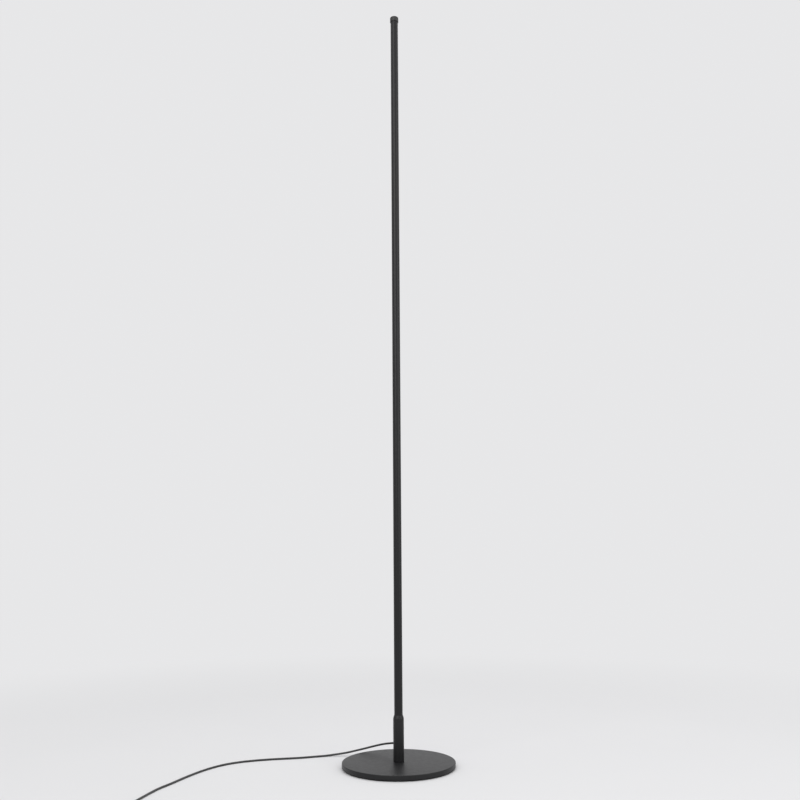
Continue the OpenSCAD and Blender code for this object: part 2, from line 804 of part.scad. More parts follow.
module plug_insulator() {
    root_l = shell_in - tongue_back;
    color("#f0f0ee") translate([end_x, plug_tip_y - shell_out - shell_in, plug_z + tongue_z]) {
        translate([-tongue_w / 2, 0, 0]) cube([tongue_w, root_l, shell_h - 2 * shell_t - slip]);
        translate([-tongue_w / 2, root_l - eps, 0])
            cube([tongue_w, shell_out + shell_in - root_l - tongue_back + eps, tongue_t]);
    }
}

module plug_contacts() {
    contact = [1, 9.5, 0.2];
    contact_back = tongue_back + 0.5;
    color("#d8b04a") for (x = [-3.5, -1, 1, 3.5])
        translate([end_x + x - contact.x / 2, plug_tip_y - contact_back - contact.y,
            plug_z + tongue_z + tongue_t]) cube(contact);
}

base_pad();
base_plate();
base_washer();
base_screw();
sleeve();
sleeve_hub();
grub_screws();
cord_relief();
cord_tail();
cord_clamp();
core_wires();
light_bar();
bar_end_plug();
diffuser();
led_strip();
leds();
strip_capacitors();
top_cap();
cord_run();
case_bottom();
case_top();
case_screws();
controller_board();
controller_parts();
tact_switches();
stem_power();
stem_mode();
stem_speed();
button_power();
button_mode();
button_speed();
relief_in();
relief_out();
controller_wires();
cord_lead();
cord_coil();
coil_tie();
cord_end();
plug_grip();
plug_shell();
plug_insulator();
plug_contacts();
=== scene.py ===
"""The looks of the corner floor lamp: its camera, cords, pieces, materials and light."""

import math

import bmesh
import bpy
from mathutils import Matrix, Vector


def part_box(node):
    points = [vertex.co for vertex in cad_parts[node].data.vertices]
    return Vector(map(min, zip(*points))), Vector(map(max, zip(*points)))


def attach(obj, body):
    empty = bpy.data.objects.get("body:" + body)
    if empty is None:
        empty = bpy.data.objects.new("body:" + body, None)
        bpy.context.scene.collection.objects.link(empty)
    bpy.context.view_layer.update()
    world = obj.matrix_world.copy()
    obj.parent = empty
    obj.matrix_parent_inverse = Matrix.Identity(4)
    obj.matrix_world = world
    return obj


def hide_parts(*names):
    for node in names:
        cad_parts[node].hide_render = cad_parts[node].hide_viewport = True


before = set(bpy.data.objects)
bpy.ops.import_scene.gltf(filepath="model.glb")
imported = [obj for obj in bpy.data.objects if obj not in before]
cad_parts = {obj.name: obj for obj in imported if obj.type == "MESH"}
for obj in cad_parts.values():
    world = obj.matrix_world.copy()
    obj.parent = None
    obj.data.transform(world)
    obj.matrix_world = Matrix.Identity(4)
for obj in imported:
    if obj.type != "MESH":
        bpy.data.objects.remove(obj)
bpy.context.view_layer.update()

MM = 0.001
TAU = 2 * math.pi
LAMP = "lamp"
BUTTONS = ("button_power", "button_mode", "button_speed")


def low(node):
    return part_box(node)[0]


def high(node):
    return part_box(node)[1]


def middle(node):
    a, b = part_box(node)
    return (a + b) / 2


# -------- sizes and places in the CAD model

SLIP = 0.05 * MM  # clearance between round parts that fit in each other
BASE_R = high("base_plate").x
PAD_TOP = high("base_pad").z
BASE_TOP = high("base_plate").z
SLEEVE_R = high("sleeve").x
BORE_R = high("sleeve_hub").x + SLIP
GRUB_Z = middle("grub_screws").z
BAR_R = high("light_bar").x
LED_PITCH = 33.3 * MM
LED_SIDE = 5 * MM
FIRST_LED = low("leds").z + LED_SIDE / 2
RELIEF_END = high("cord_relief").y
CORD_Z = middle("cord_relief").z
CORD_D = 3.5 * MM
CORD_R = CORD_D / 2
CASE_X = middle("case_top").x
CASE_Y = middle("case_top").y
CASE_L = high("case_top").y - low("case_top").y
CASE_W = high("case_top").x - low("case_top").x
CASE_TOP = high("case_top").z
PORT_Z = middle("relief_in").z
BUTTON_TOP = high("button_mode").z
NOSE_L = 10 * MM  # length of the ribbed noses on the controller and the plug
PLUG_X = middle("plug_shell").x
PLUG_Z = middle("plug_shell").z
GRIP_Y = low("plug_grip").y + NOSE_L


# -------- camera

CAMERA_AT = Vector((0.06122, -1.61171, 0.37019))
CAMERA_YAW = math.radians(1.943)
CAMERA_PITCH = math.radians(10.034)
CAMERA_ROLL = math.radians(-0.395)
CAMERA_LENS = 39.021
SENSOR_WIDTH = 36


def new_object(name, data):
    """Puts an object with this data in the scene."""
    made = bpy.data.objects.new(name, data)
    bpy.context.scene.collection.objects.link(made)
    return made


def make_camera():
    """The photograph's camera: its place, and its turn from yaw, pitch and roll."""
    camera = new_object("camera", bpy.data.cameras.new("camera"))
    turn = Matrix.Rotation(CAMERA_YAW, 3, "Z") @ Matrix.Rotation(math.pi / 2 + CAMERA_PITCH, 3, "X")
    turn = turn @ Matrix.Rotation(CAMERA_ROLL, 3, "Z")
    camera.matrix_world = Matrix.Translation(CAMERA_AT) @ turn.to_4x4()
    camera.data.lens = CAMERA_LENS
    camera.data.sensor_width = SENSOR_WIDTH
    camera.data.clip_start = 0.01
    camera.data.clip_end = 60
    bpy.context.scene.camera = camera
    bpy.context.scene.view_settings.view_transform = "Standard"


# -------- materials

# Places of the colour sockets on a Mix node
MIX_A, MIX_B, MIX_RESULT = 6, 7, 2


class Look:
    """A material on the Principled shader, with helpers for its procedural detail."""

    def __init__(self, name, color, rough, metallic=0.0, specular=0.5):
        self.material = bpy.data.materials.new(name)
        self.material.use_nodes = True
        self.tree = self.material.node_tree
        self.shader = self.tree.nodes["Principled BSDF"]
        self.put("Base Color", (*color, 1))
        self.put("Roughness", rough)
        self.put("Metallic", metallic)
        self.put("Specular IOR Level", specular)
        self.place = self.node("ShaderNodeTexCoord").outputs["Object"]
        self.normal = None

    def node(self, kind, **values):
        made = self.tree.nodes.new(kind)
        for name, value in values.items():
            setattr(made, name, value)
        return made

    def put(self, socket, value):
        self.shader.inputs[socket].default_value = value

    def link(self, a, b):
        self.tree.links.new(a, b)

    def axes(self):
        """The sockets of a point's X, Y and Z."""
        split = self.node("ShaderNodeSeparateXYZ")
        self.link(self.place, split.inputs["Vector"])
        return split.outputs

    def noise(self, size, detail=3.0, stretch=(1, 1, 1)):
        """Noise whose features are about size metres wide, drawn out along an axis by stretch."""
        mapping = self.node("ShaderNodeMapping")
        mapping.inputs["Scale"].default_value = tuple(1 / (size * s) for s in stretch)
        self.link(self.place, mapping.inputs["Vector"])
        noise = self.node("ShaderNodeTexNoise")
        noise.inputs["Scale"].default_value = 1
        noise.inputs["Detail"].default_value = detail
        self.link(mapping.outputs["Vector"], noise.inputs["Vector"])
        return noise.outputs["Fac"]

    def cells(self, size):
        """Small round cells about size metres apart."""
        voronoi = self.node("ShaderNodeTexVoronoi")
        voronoi.inputs["Scale"].default_value = 1 / size
        self.link(self.place, voronoi.inputs["Vector"])
        return voronoi.outputs["Distance"]

    def ramp(self, factor, stops):
        """A colour ramp; each stop is (place, colour)."""
        ramp = self.node("ShaderNodeValToRGB")
        elements = ramp.color_ramp.elements
        while len(elements) < len(stops):
            elements.new(1)
        for element, (place, color) in zip(elements, stops):
            element.position = place
            element.color = (*color, 1)
        self.link(factor, ramp.inputs["Fac"])
        return ramp.outputs["Color"]

    def span(self, factor, out_low, out_high, in_low=0.3, in_high=0.7):
        """Maps a range of the factor, by default the one that noise keeps to, onto another."""
        spread = self.node("ShaderNodeMapRange")
        for name, value in (("From Min", in_low), ("From Max", in_high),
                            ("To Min", out_low), ("To Max", out_high)):
            spread.inputs[name].default_value = value
        self.link(factor, spread.inputs["Value"])
        return spread.outputs["Result"]

    def math(self, operation, a, b=None):
        """A Math node on sockets or numbers."""
        made = self.node("ShaderNodeMath", operation=operation)
        for socket, value in zip(made.inputs, (a, b)):
            if hasattr(value, "is_linked"):
                self.link(value, socket)
            elif value is not None:
                socket.default_value = value
        return made.outputs["Value"]

    def wander(self, factor, dark, light):
        """A colour that wanders between two tones."""
        return self.ramp(factor, [(0.3, dark), (0.7, light)])

    def mottle(self, factor, dark, light):
        self.link(self.wander(factor, dark, light), self.shader.inputs["Base Color"])

    def vary_rough(self, factor, smooth, rough):
        self.link(self.span(factor, smooth, rough), self.shader.inputs["Roughness"])

    def relief(self, height, depth, strength=1.0):
        """Bumps depth metres high; a second call adds to the first."""
        bump = self.node("ShaderNodeBump")
        bump.inputs["Strength"].default_value = strength
        bump.inputs["Distance"].default_value = depth
        self.link(height, bump.inputs["Height"])
        if self.normal is not None:
            self.link(self.normal, bump.inputs["Normal"])
        self.normal = bump.outputs["Normal"]
        self.link(self.normal, self.shader.inputs["Normal"])


def grey(value, blue=1.0):
    return (value, value, value * blue)


def shade(color, share):
    return tuple(c * share for c in color)


def powder_coat():
    """Satin black powder coat: a fine orange peel over a slow change of gloss."""
    look = Look("powder_coat", grey(0.0085), 0.42, specular=0.3)
    look.mottle(look.noise(30 * MM), grey(0.0078, 1.06), grey(0.0092, 1.1))
    look.vary_rough(look.noise(8 * MM, 4), 0.40, 0.445)
    look.relief(look.noise(1.2 * MM, 2), 0.05 * MM, 0.6)
    look.relief(look.cells(0.5 * MM), 0.04 * MM, 0.7)
    return look.material


def bar_coat():
    """The extrusion's black coat, with its faint drawing lines along the bar."""
    look = Look("bar_coat", grey(0.0065), 0.38, specular=0.3)
    look.mottle(look.noise(40 * MM, 3, (1, 1, 4)), grey(0.0058, 1.05), grey(0.0074, 1.1))
    look.vary_rough(look.noise(2 * MM, 4, (1, 1, 200)), 0.35, 0.42)
    look.relief(look.noise(0.5 * MM, 3, (1, 1, 400)), 0.03 * MM, 0.5)
    look.relief(look.cells(0.3 * MM), 0.01 * MM, 0.5)
    return look.material


def moulded(name, value, rough=0.5, grain=0.4 * MM, blue=1.05):
    """Moulded plastic with a spark-eroded grain."""
    look = Look(name, grey(value), rough)
    look.mottle(look.noise(10 * MM), grey(value * 0.94, blue), grey(value * 1.07, blue))
    look.vary_rough(look.noise(4 * MM, 4), rough - 0.02, rough + 0.03)
    look.relief(look.cells(grain), 0.05 * MM, 0.7)
    return look.material


def jacket():
    """Soft black cable jacket: slightly glossy, with long shallow waves from its extruder."""
    look = Look("jacket", grey(0.014), 0.42, specular=0.5)
    look.mottle(look.noise(20 * MM), grey(0.011), grey(0.018, 1.08))
    look.vary_rough(look.noise(6 * MM, 4), 0.36, 0.52)
    look.relief(look.noise(3 * MM, 2), 0.08 * MM, 0.4)
    look.relief(look.noise(0.4 * MM, 2), 0.02 * MM, 0.4)
    look.put("Sheen Weight", 0.08)
    look.put("Sheen Roughness", 0.5)
    return look.material


def foam():
    """Closed-cell foam with open skin pores."""
    look = Look("foam", grey(0.02), 0.85, specular=0.25)
    look.mottle(look.noise(8 * MM), grey(0.015), grey(0.028))
    look.relief(look.cells(0.9 * MM), 0.25 * MM, 0.8)
    look.relief(look.noise(3 * MM), 0.2 * MM, 0.5)
    return look.material


def metal(name, color, rough, line=(1, 1, 1)):
    """Plated or turned metal; line draws its tool marks out along an axis."""
    look = Look(name, color, rough, metallic=1.0)
    look.mottle(look.noise(4 * MM, 4), shade(color, 0.92), color)
    look.vary_rough(look.noise(1.5 * MM, 4), rough - 0.04, rough + 0.05)
    look.relief(look.noise(0.5 * MM, 3, line), 0.01 * MM, 0.5)
    return look.material


def plastic(name, color, rough=0.4):
    """Plain coloured plastic, with a little wander in tone and gloss."""
    look = Look(name, color, rough)
    look.mottle(look.noise(3 * MM, 4), shade(color, 0.88), color)
    look.vary_rough(look.noise(2 * MM, 4), rough - 0.05, rough + 0.06)
    look.relief(look.noise(0.5 * MM, 2), 0.01 * MM, 0.4)
    return look.material


TINNED = (0.62, 0.5, 0.3, 1)


def solder_mask(name, color, pad_every, pad_share):
    """A printed board: its mask, with bare tinned lands along Z over pad_share of each pad_every."""
    look = Look(name, color, 0.35)
    step = look.math("FRACT", look.math("DIVIDE", look.axes()["Z"], pad_every))
    land = look.math("LESS_THAN", step, pad_share)
    tone = look.wander(look.noise(4 * MM, 4), shade(color, 0.85), color)
    mix = look.node("ShaderNodeMix", data_type="RGBA")
    look.link(land, mix.inputs["Factor"])
    look.link(tone, mix.inputs[MIX_A])
    mix.inputs[MIX_B].default_value = TINNED
    look.link(mix.outputs[MIX_RESULT], look.shader.inputs["Base Color"])
    look.vary_rough(look.noise(2 * MM), 0.28, 0.45)
    look.relief(look.noise(1.2 * MM, 3), 0.02 * MM, 0.5)
    return look.material


# The colours that the lit bar shows, by height in metres above the floor: violet, purple, pink,
# rose, orange, yellow, lime and green
GLOW = [
    (0.10, (0.28, 0.02, 1.00)), (0.40, (0.55, 0.03, 1.00)), (0.56, (1.00, 0.03, 0.55)),
    (0.66, (1.00, 0.05, 0.15)), (0.78, (1.00, 0.28, 0.03)), (0.90, (0.85, 0.75, 0.03)),
    (1.05, (0.25, 0.95, 0.04)), (1.40, (0.03, 0.90, 0.12)),
]
GLOW_BETWEEN = 0.50  # strength of the glow between two LEDs
GLOW_OVER = 0.70  # its strength over an LED
GLOW_AT_SEAM = 0.45  # the share of it that is left at the cover's edges
GLOW_CORE = 0.3  # the share of the cover's half width that isn't dimmed
OPAL_GREY = 0.03
PAINTED_GLOW_TINT = 0.26  # how much of the glow's colour is painted into the cover's base colour, as painted light from the LEDs


def opal():
    """The lit opal cover: its glow changes with height, swells over each LED and dims at the seams."""
    look = Look("opal", grey(OPAL_GREY), 0.38)
    look.relief(look.noise(0.6 * MM, 2), 0.01 * MM, 0.4)
    look.vary_rough(look.noise(2 * MM, 4), 0.34, 0.44)
    at = look.axes()
    bottom, top = GLOW[0][0], GLOW[-1][0]
    height = look.span(at["Z"], 0, 1, bottom, top)
    stops = [((z - bottom) / (top - bottom), color) for z, color in GLOW]
    color = look.ramp(height, stops)
    # The cover's base colour takes a painted tint of the glow: painted light from the LEDs, on top of the
    # emission
    cover = look.ramp(height, [(share, [OPAL_GREY + PAINTED_GLOW_TINT * v for v in tint])
                               for share, tint in stops])
    turn = look.math("MULTIPLY", look.math("SUBTRACT", at["Z"], FIRST_LED), TAU / LED_PITCH)
    swell = look.span(look.math("COSINE", turn), GLOW_BETWEEN, GLOW_OVER, -1, 1)
    side = look.span(look.math("ABSOLUTE", at["X"]), 1, GLOW_AT_SEAM, GLOW_CORE * BAR_R, BAR_R)
    look.link(cover, look.shader.inputs["Base Color"])
    look.link(color, look.shader.inputs["Emission Color"])
    look.link(look.math("MULTIPLY", swell, side), look.shader.inputs["Emission Strength"])
    return look.material


def led_face():
    """LED packages: a white moulding round a yellow phosphor lens."""
    look = Look("led_face", (0.8, 0.8, 0.78), 0.35)
    at = look.axes()
    start = FIRST_LED - LED_PITCH / 2
    along = look.math("DIVIDE", look.math("SUBTRACT", at["Z"], start), LED_PITCH)
    off = look.math("MULTIPLY", look.math("SUBTRACT", look.math("FRACT", along), 0.5), LED_PITCH)
    square = look.math("ADD", look.math("MULTIPLY", off, off), look.math("MULTIPLY", at["X"], at["X"]))
    reach = 4 * MM
    far = look.span(look.math("SQRT", square), 0, 1, 0, reach)
    rings = [(0, (0.9, 0.72, 0.25)), (0.44, (0.85, 0.66, 0.2)), (0.5, (0.82, 0.82, 0.8))]
    look.link(look.ramp(far, rings), look.shader.inputs["Base Color"])
    look.vary_rough(look.noise(MM), 0.25, 0.45)
    return look.material


def make_looks():
    return {
        "powder": powder_coat(),
        "bar": bar_coat(),
        "jacket": jacket(),
        "foam": foam(),
        "opal": opal(),
        "cap": moulded("cap_plastic", 0.012),
        "case": moulded("case_plastic", 0.016, 0.52),
        "button": moulded("soft_touch", 0.05, 0.62, 0.3 * MM),
        "tie": moulded("tie_plastic", 0.014, 0.4, 0.6 * MM),
        "print": plastic("mark_print", (0.7, 0.7, 0.68), 0.5),
        "nickel": metal("nickel", (0.74, 0.73, 0.71), 0.24, (1, 12, 1)),
        "zinc": metal("zinc", (0.60, 0.60, 0.58), 0.38),
        "blacked": metal("blacked", (0.05, 0.05, 0.055), 0.45),
        "turned": metal("turned", (0.72, 0.73, 0.74), 0.3, (12, 12, 1)),
        "gold": metal("gold", (0.85, 0.62, 0.25), 0.22, (1, 10, 1)),
        "nylon": plastic("nylon", (0.72, 0.69, 0.6), 0.45),
        "cores": plastic("cores", (0.42, 0.03, 0.04), 0.38),
        "strip": solder_mask("strip_mask", (0.82, 0.82, 0.8), LED_PITCH, 0.12),
        "led": led_face(),
        "ceramic": plastic("ceramic", (0.34, 0.25, 0.15), 0.5),
        "board": solder_mask("board_mask", (0.015, 0.13, 0.045), 2 * MM, 0),
        "chip": plastic("chip", (0.02, 0.02, 0.021), 0.55),
        "insulator": plastic("insulator", (0.8, 0.8, 0.78), 0.42),
    }


CARRIED = {
    "base_washer": "zinc", "base_screw": "zinc", "sleeve_hub": "turned", "grub_screws": "blacked",
    "cord_tail": "jacket", "cord_clamp": "nylon", "core_wires": "cores", "bar_end_plug": "cap",
    "led_strip": "strip", "leds": "led", "strip_capacitors": "ceramic", "case_screws": "zinc",
    "controller_board": "board", "controller_parts": "chip", "tact_switches": "chip",
    "stem_power": "nylon", "stem_mode": "nylon", "stem_speed": "nylon", "controller_wires": "cores",
    "plug_insulator": "insulator", "plug_contacts": "gold",
}


def dress_carried(look):
    """Gives each CAD solid that no piece replaces its material."""
    for name, kind in CARRIED.items():
        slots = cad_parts[name].data.materials
        slots.clear()
        slots.append(look[kind])


# -------- mesh tools

IDENTITY = Matrix.Identity(4)
WELD = 0.001 * MM  # points closer than this are one point
SHARP = 35  # edges that turn by more than this many degrees stay sharp
PROFILE_SHARP = 28  # the same on the bar's long profiles


def clean(bm, sharp=SHARP):
    """Joins points closer than WELD, and smooths all but the edges sharper than sharp degrees."""
    bmesh.ops.remove_doubles(bm, verts=bm.verts, dist=WELD)
    bmesh.ops.dissolve_degenerate(bm, edges=bm.edges, dist=WELD)
    bmesh.ops.recalc_face_normals(bm, faces=bm.faces)
    for face in bm.faces:
        face.smooth = True
    for edge in bm.edges:
        edge.smooth = len(edge.link_faces) == 2 and edge.calc_face_angle() < math.radians(sharp)


def object_of(name, bm):
    """Puts an object with a bmesh's shape in the scene, and frees the bmesh."""
    mesh = bpy.data.meshes.new(name)
    bm.to_mesh(mesh)
    bm.free()
    return new_object(name, mesh)


def finish_mesh(name, bm, material, body=LAMP, sharp=SHARP):
    """Makes a piece of a bmesh."""
    clean(bm, sharp)
    piece = object_of(name, bm)
    piece.data.materials.append(material)
    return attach(piece, body)


def stand_for(piece, node):
    """Hides the CAD node that a piece replaces."""
    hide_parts(node)
    return piece


def loft(rings, closed=False):
    """Joins rings of equal counts with quads, and caps both ends unless the rings close on themselves."""
    bm = bmesh.new()
    made = [[bm.verts.new(p) for p in ring] for ring in rings]
    count = len(made[0])
    pairs = list(zip(made, made[1:]))
    if closed:
        pairs.append((made[-1], made[0]))
    for a, b in pairs:
        for i in range(count):
            j = (i + 1) % count
            bm.faces.new((a[i], a[j], b[j], b[i]))
    if not closed:
        bm.faces.new(made[0][::-1])
        bm.faces.new(made[-1])
    return bm


def lathe(profile, segments=96, closed=False, place=IDENTITY):
    """Turns a profile of (radius, height) points about Z; place then moves it."""
    bm = bmesh.new()
    rows = []
    for radius, height in profile:
        angles = [TAU * k / segments for k in range(segments if radius else 1)]
        rows.append([bm.verts.new(place @ Vector((radius * math.cos(a), radius * math.sin(a), height)))
                     for a in angles])
    for a, b in zip(rows, rows[1:] + rows[:1] if closed else rows[1:]):
        for i in range(segments):
            j = (i + 1) % segments
            around = (a[i % len(a)], a[j % len(a)], b[j % len(b)], b[i % len(b)])
            bm.faces.new(list(dict.fromkeys(around)))
    if not closed:
        for row in (rows[0], rows[-1]):
            if len(row) > 1:
                bm.faces.new(row)
    return bm


def drill(radius, place, length, segments=48):
    """A plain round cutter of that length along +Z from place."""
    return lathe([(radius, 0), (radius, length)], segments, place=place)


def add_section(bm, outlines, start, end, place=IDENTITY):
    """Runs a section along Z; outlines after the first are holes through it."""
    levels = []
    for z in (start, end):
        edges, loops = [], []
        for outline in outlines:
            loop = [bm.verts.new(place @ Vector((x, y, z))) for x, y in outline]
            edges += [bm.edges.new((a, b)) for a, b in zip(loop, loop[1:] + loop[:1])]
            loops.append(loop)
        bmesh.ops.triangle_fill(bm, use_beauty=True, edges=edges)
        levels.append(loops)
    for lower, upper in zip(*levels):
        count = len(lower)
        for i in range(count):
            j = (i + 1) % count
            bm.faces.new((lower[i], lower[j], upper[j], upper[i]))


def section(outlines, start, end, place=IDENTITY):
    """A new bmesh of one section."""
    bm = bmesh.new()
    add_section(bm, outlines, start, end, place)
    return bm


def fillet(corners, steps=4, closed=True):
    """Rounds the corners of an outline: each is (x, y) or (x, y, how far back the curve starts)."""
    points = []
    count = len(corners)
    for i, corner in enumerate(corners):
        here = Vector(corner[:2])
        if len(corner) < 3 or not closed and i in (0, count - 1):
            points.append(tuple(here))
            continue
        ends = []
        for other in (corners[i - 1], corners[(i + 1) % count]):
            way = Vector(other[:2]) - here
            ends.append(here + way.normalized() * min(corner[2], way.length / 2))
        for k in range(steps + 1):
            t = k / steps
            points.append(tuple(ends[0] * (1 - t) ** 2 + here * 2 * t * (1 - t) + ends[1] * t * t))
    return [p for i, p in enumerate(points) if math.dist(p, points[i - 1]) > WELD]


def rectangle(half_w, half_h, round_off, steps=4):
    """The outline of a rectangle about the origin, its corners rounded off that far back."""
    return fillet([(-half_w, -half_h, round_off), (half_w, -half_h, round_off),
                   (half_w, half_h, round_off), (-half_w, half_h, round_off)], steps)


def arc(cx, cy, radius, start, end, steps):
    """Points along an arc, with angles in degrees."""
    return [(cx + radius * math.cos(math.radians(start + (end - start) * i / steps)),
             cy + radius * math.sin(math.radians(start + (end - start) * i / steps)))
            for i in range(steps + 1)]


def angle_at(radius, y):
    """The angle, in degrees, at which a circle about the axis reaches height y."""
    return math.degrees(math.asin(y / radius))


def on_circle(radius, y):
    """x at height y of a circle about the axis."""
    return math.sqrt(radius * radius - y * y)


def flip(points):
    """The same points on the other side of the axis."""
    return [(-p[0], *p[1:]) for p in points]


def quarter(radius, steps):
    """A rounded edge as (inset, depth) pairs, from the flat face to the side."""
    angles = [math.pi / 2 * k / steps for k in range(steps + 1)]
    return [(radius * (1 - math.sin(a)), radius * (1 - math.cos(a))) for a in angles]


def along_y(x, y, z, sense=1):
    """Turns +Z towards +Y, or towards -Y where sense is -1, at a place."""
    return Matrix.Translation((x, y, z)) @ Matrix.Rotation(-sense * math.pi / 2, 4, "X")


def rounded_ring(width, length, radius, z, steps=8):
    """The points of a rectangle with round corners at height z, about the Z axis."""
    points = []
    for sx, sy, start in ((1, 1, 0), (-1, 1, 90), (-1, -1, 180), (1, -1, 270)):
        points += arc(sx * (width / 2 - radius), sy * (length / 2 - radius), radius,
                      start, start + 90, steps)
    return [Vector((x, y, z)) for x, y in points]


def combine(piece, operation, *others):
    """Cuts bmeshes out of a piece, or joins them to it."""
    for bm in others:
        bmesh.ops.recalc_face_normals(bm, faces=bm.faces)
        tool = object_of("other", bm)
        boolean = piece.modifiers.new("combine", "BOOLEAN")
        boolean.operation = operation
        boolean.object = tool
        boolean.solver = "EXACT"
        bpy.context.view_layer.update()
        shaped = piece.evaluated_get(bpy.context.evaluated_depsgraph_get())
        piece.data = bpy.data.meshes.new_from_object(shaped)
        piece.modifiers.clear()
        bpy.data.objects.remove(tool)
    bm = bmesh.new()
    bm.from_mesh(piece.data)
    clean(bm)
    bm.to_mesh(piece.data)
    bm.free()


def cut(piece, *others):
    combine(piece, "DIFFERENCE", *others)


def join(piece, *others):
    combine(piece, "UNION", *others)


# -------- cords

# The free cord's route in millimetres, as in the CAD model's source, run on into the controller
RUN = [(0, RELIEF_END / MM, CORD_Z / MM), (0, 30, CORD_Z / MM), (-1, 37, 34.2), (-4, 45, 32.4),
       (-10, 52, 30.3), (-18, 59, 28.2), (-28, 65, 26), (-39, 70, 23), (-52, 74.5, 19.2),
       (-66, 78, 15.1), (-82, 81.5, 10.8), (-98, 84, 6.8), (-113, 85, 4.2), (-128, 83, 2.6),
       (-142, 79, 1.8), (-156, 74, 1.75), (-184, 64, 1.75), (-213, 57, 1.75), (-241, 50, 1.75),
       (-268, 40, 1.75), (-294, 26, 1.75), (-317, 4, 1.75), (-337, -29, 1.75), (-354, -71, 1.75),
       (-368, -116, 1.75), (-381, -155, 1.75), (-390, -203, 1.75), (-393, -222, 1.75),
       (-395, -232, 2.4), (-396.5, -240, 4.6), (-397, -247, PORT_Z / MM),
       (-397, -251, PORT_Z / MM), (-397, -261, PORT_Z / MM)]
LEAD_Y = low("relief_out").y
LEAD_L = 25 * MM
# From inside the controller towards the coil, in millimetres from LEAD_Y and the floor
LEAD = [(0, 10, PORT_Z / MM), (0, 0, PORT_Z / MM), (0, -4, PORT_Z / MM), (0, -9, 4.9),
        (0, -14, 3.6), (0, -18, 2.6), (0, -21.5, 2.35)]
# From the coil to the plug, in millimetres from the coil's end and the floor
END = [(0, 3.5, 6.35), (0, 8, 5.8), (0, 13, 4.7), (0, 18.5, 4), (0, 22, 4)]
COIL_IN = 14.5 * MM
COIL_STEP = 4 * MM
COIL_LAYER = 4 * MM
COIL_TURNS = 6.5
COIL_HALF = COIL_TURNS / 2
COIL_RINGS = 24
COIL_OUT = COIL_IN + COIL_STEP * COIL_HALF
COIL_X = CASE_X + COIL_OUT
COIL_Y = LEAD_Y - LEAD_L - CORD_D
COIL_Z = 2.35 * MM


def coil_point(u):
    """A point of the coil, u turns from where it reverses: inwards below, outwards above."""
    t = min(max(2 * u + 0.5, 0), 1)
    radius = COIL_IN + COIL_STEP * abs(u)
    angle = TAU * (u + COIL_HALF) + math.pi
    return Vector((COIL_X + radius * math.cos(angle), COIL_Y + radius * math.sin(angle),
                   COIL_Z + COIL_LAYER * t * t * (3 - 2 * t)))


def tail_points():
    """From the controller down into the coil, round it and up to the plug."""
    points = [Vector((CASE_X + x * MM, LEAD_Y + y * MM, z * MM)) for x, y, z in LEAD]
    points.append(Vector((CASE_X, COIL_Y + CORD_D, COIL_Z)))
    count = int(COIL_TURNS * COIL_RINGS)
    points += [coil_point(i / COIL_RINGS - COIL_HALF) for i in range(count + 1)]
    end = Vector((COIL_X + COIL_OUT, COIL_Y + CORD_D, 0))
    points.append(end + Vector((0, 0, COIL_Z + COIL_LAYER)))
    points += [end + Vector((x, y, z)) * MM for x, y, z in END]
    return points


def make_cord(name, points, material):
    """A round cord as one open curve through its points, never below the floor."""
    curve = bpy.data.curves.new(name, "CURVE")
    curve.dimensions = "3D"
    curve.bevel_depth = CORD_R
    curve.bevel_resolution = 5
    curve.resolution_u = 5
    curve.use_fill_caps = True
    spline = curve.splines.new("BEZIER")
    last = len(points) - 1
    spline.bezier_points.add(last)
    for i, knot in enumerate(spline.bezier_points):
        before, after = points[max(i - 1, 0)], points[min(i + 1, last)]
        spans = 2 if 0 < i < last else 1
        reach = (after - before) / (3 * spans)
        knot.handle_left_type = knot.handle_right_type = "FREE"
        knot.co = points[i]
        knot.handle_left = points[i] - reach
        knot.handle_right = points[i] + reach
        for handle in (knot.handle_left, knot.handle_right):
            handle.z = max(handle.z, CORD_R)
    curve.materials.append(material)
    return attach(new_object(name, curve), LAMP)


def make_cords(material):
    run = [Vector(p) * MM for p in RUN]
    tail = tail_points()
    lead = make_cord("cord_to_controller", run, material)
    rest = make_cord("cord_to_plug", tail, material)
    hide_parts("cord_run")
    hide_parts("cord_lead", "cord_coil", "cord_end")
    return (lead, run), (rest, tail)


# -------- base and sleeve


def make_base(look):
    """The foam pad and the plate, with its counterbore and softly rounded rim."""
    pad_r, hole_r, soft = high("base_pad").x, 12 * MM, 0.7 * MM
    profile = [(hole_r, 0, soft), (pad_r, 0, soft), (pad_r, PAD_TOP, soft / 3),
               (hole_r, PAD_TOP, soft / 3)]
    pad = finish_mesh("foot_pad", lathe(fillet(profile), 192, closed=True), look["foam"])
    stand_for(pad, "base_pad")
    bore_r, screw_r, seat_z = 11 * MM, 4.3 * MM, high("base_washer").z
    edge, low_edge = 1.2 * MM, 0.5 * MM
    profile = [(screw_r, seat_z), (bore_r, seat_z), (bore_r, PAD_TOP, low_edge),
               (BASE_R, PAD_TOP, low_edge), (BASE_R, BASE_TOP, edge), (screw_r, BASE_TOP)]
    plate = finish_mesh("plate", lathe(fillet(profile, 8), 256, closed=True), look["powder"])
    stand_for(plate, "base_plate")


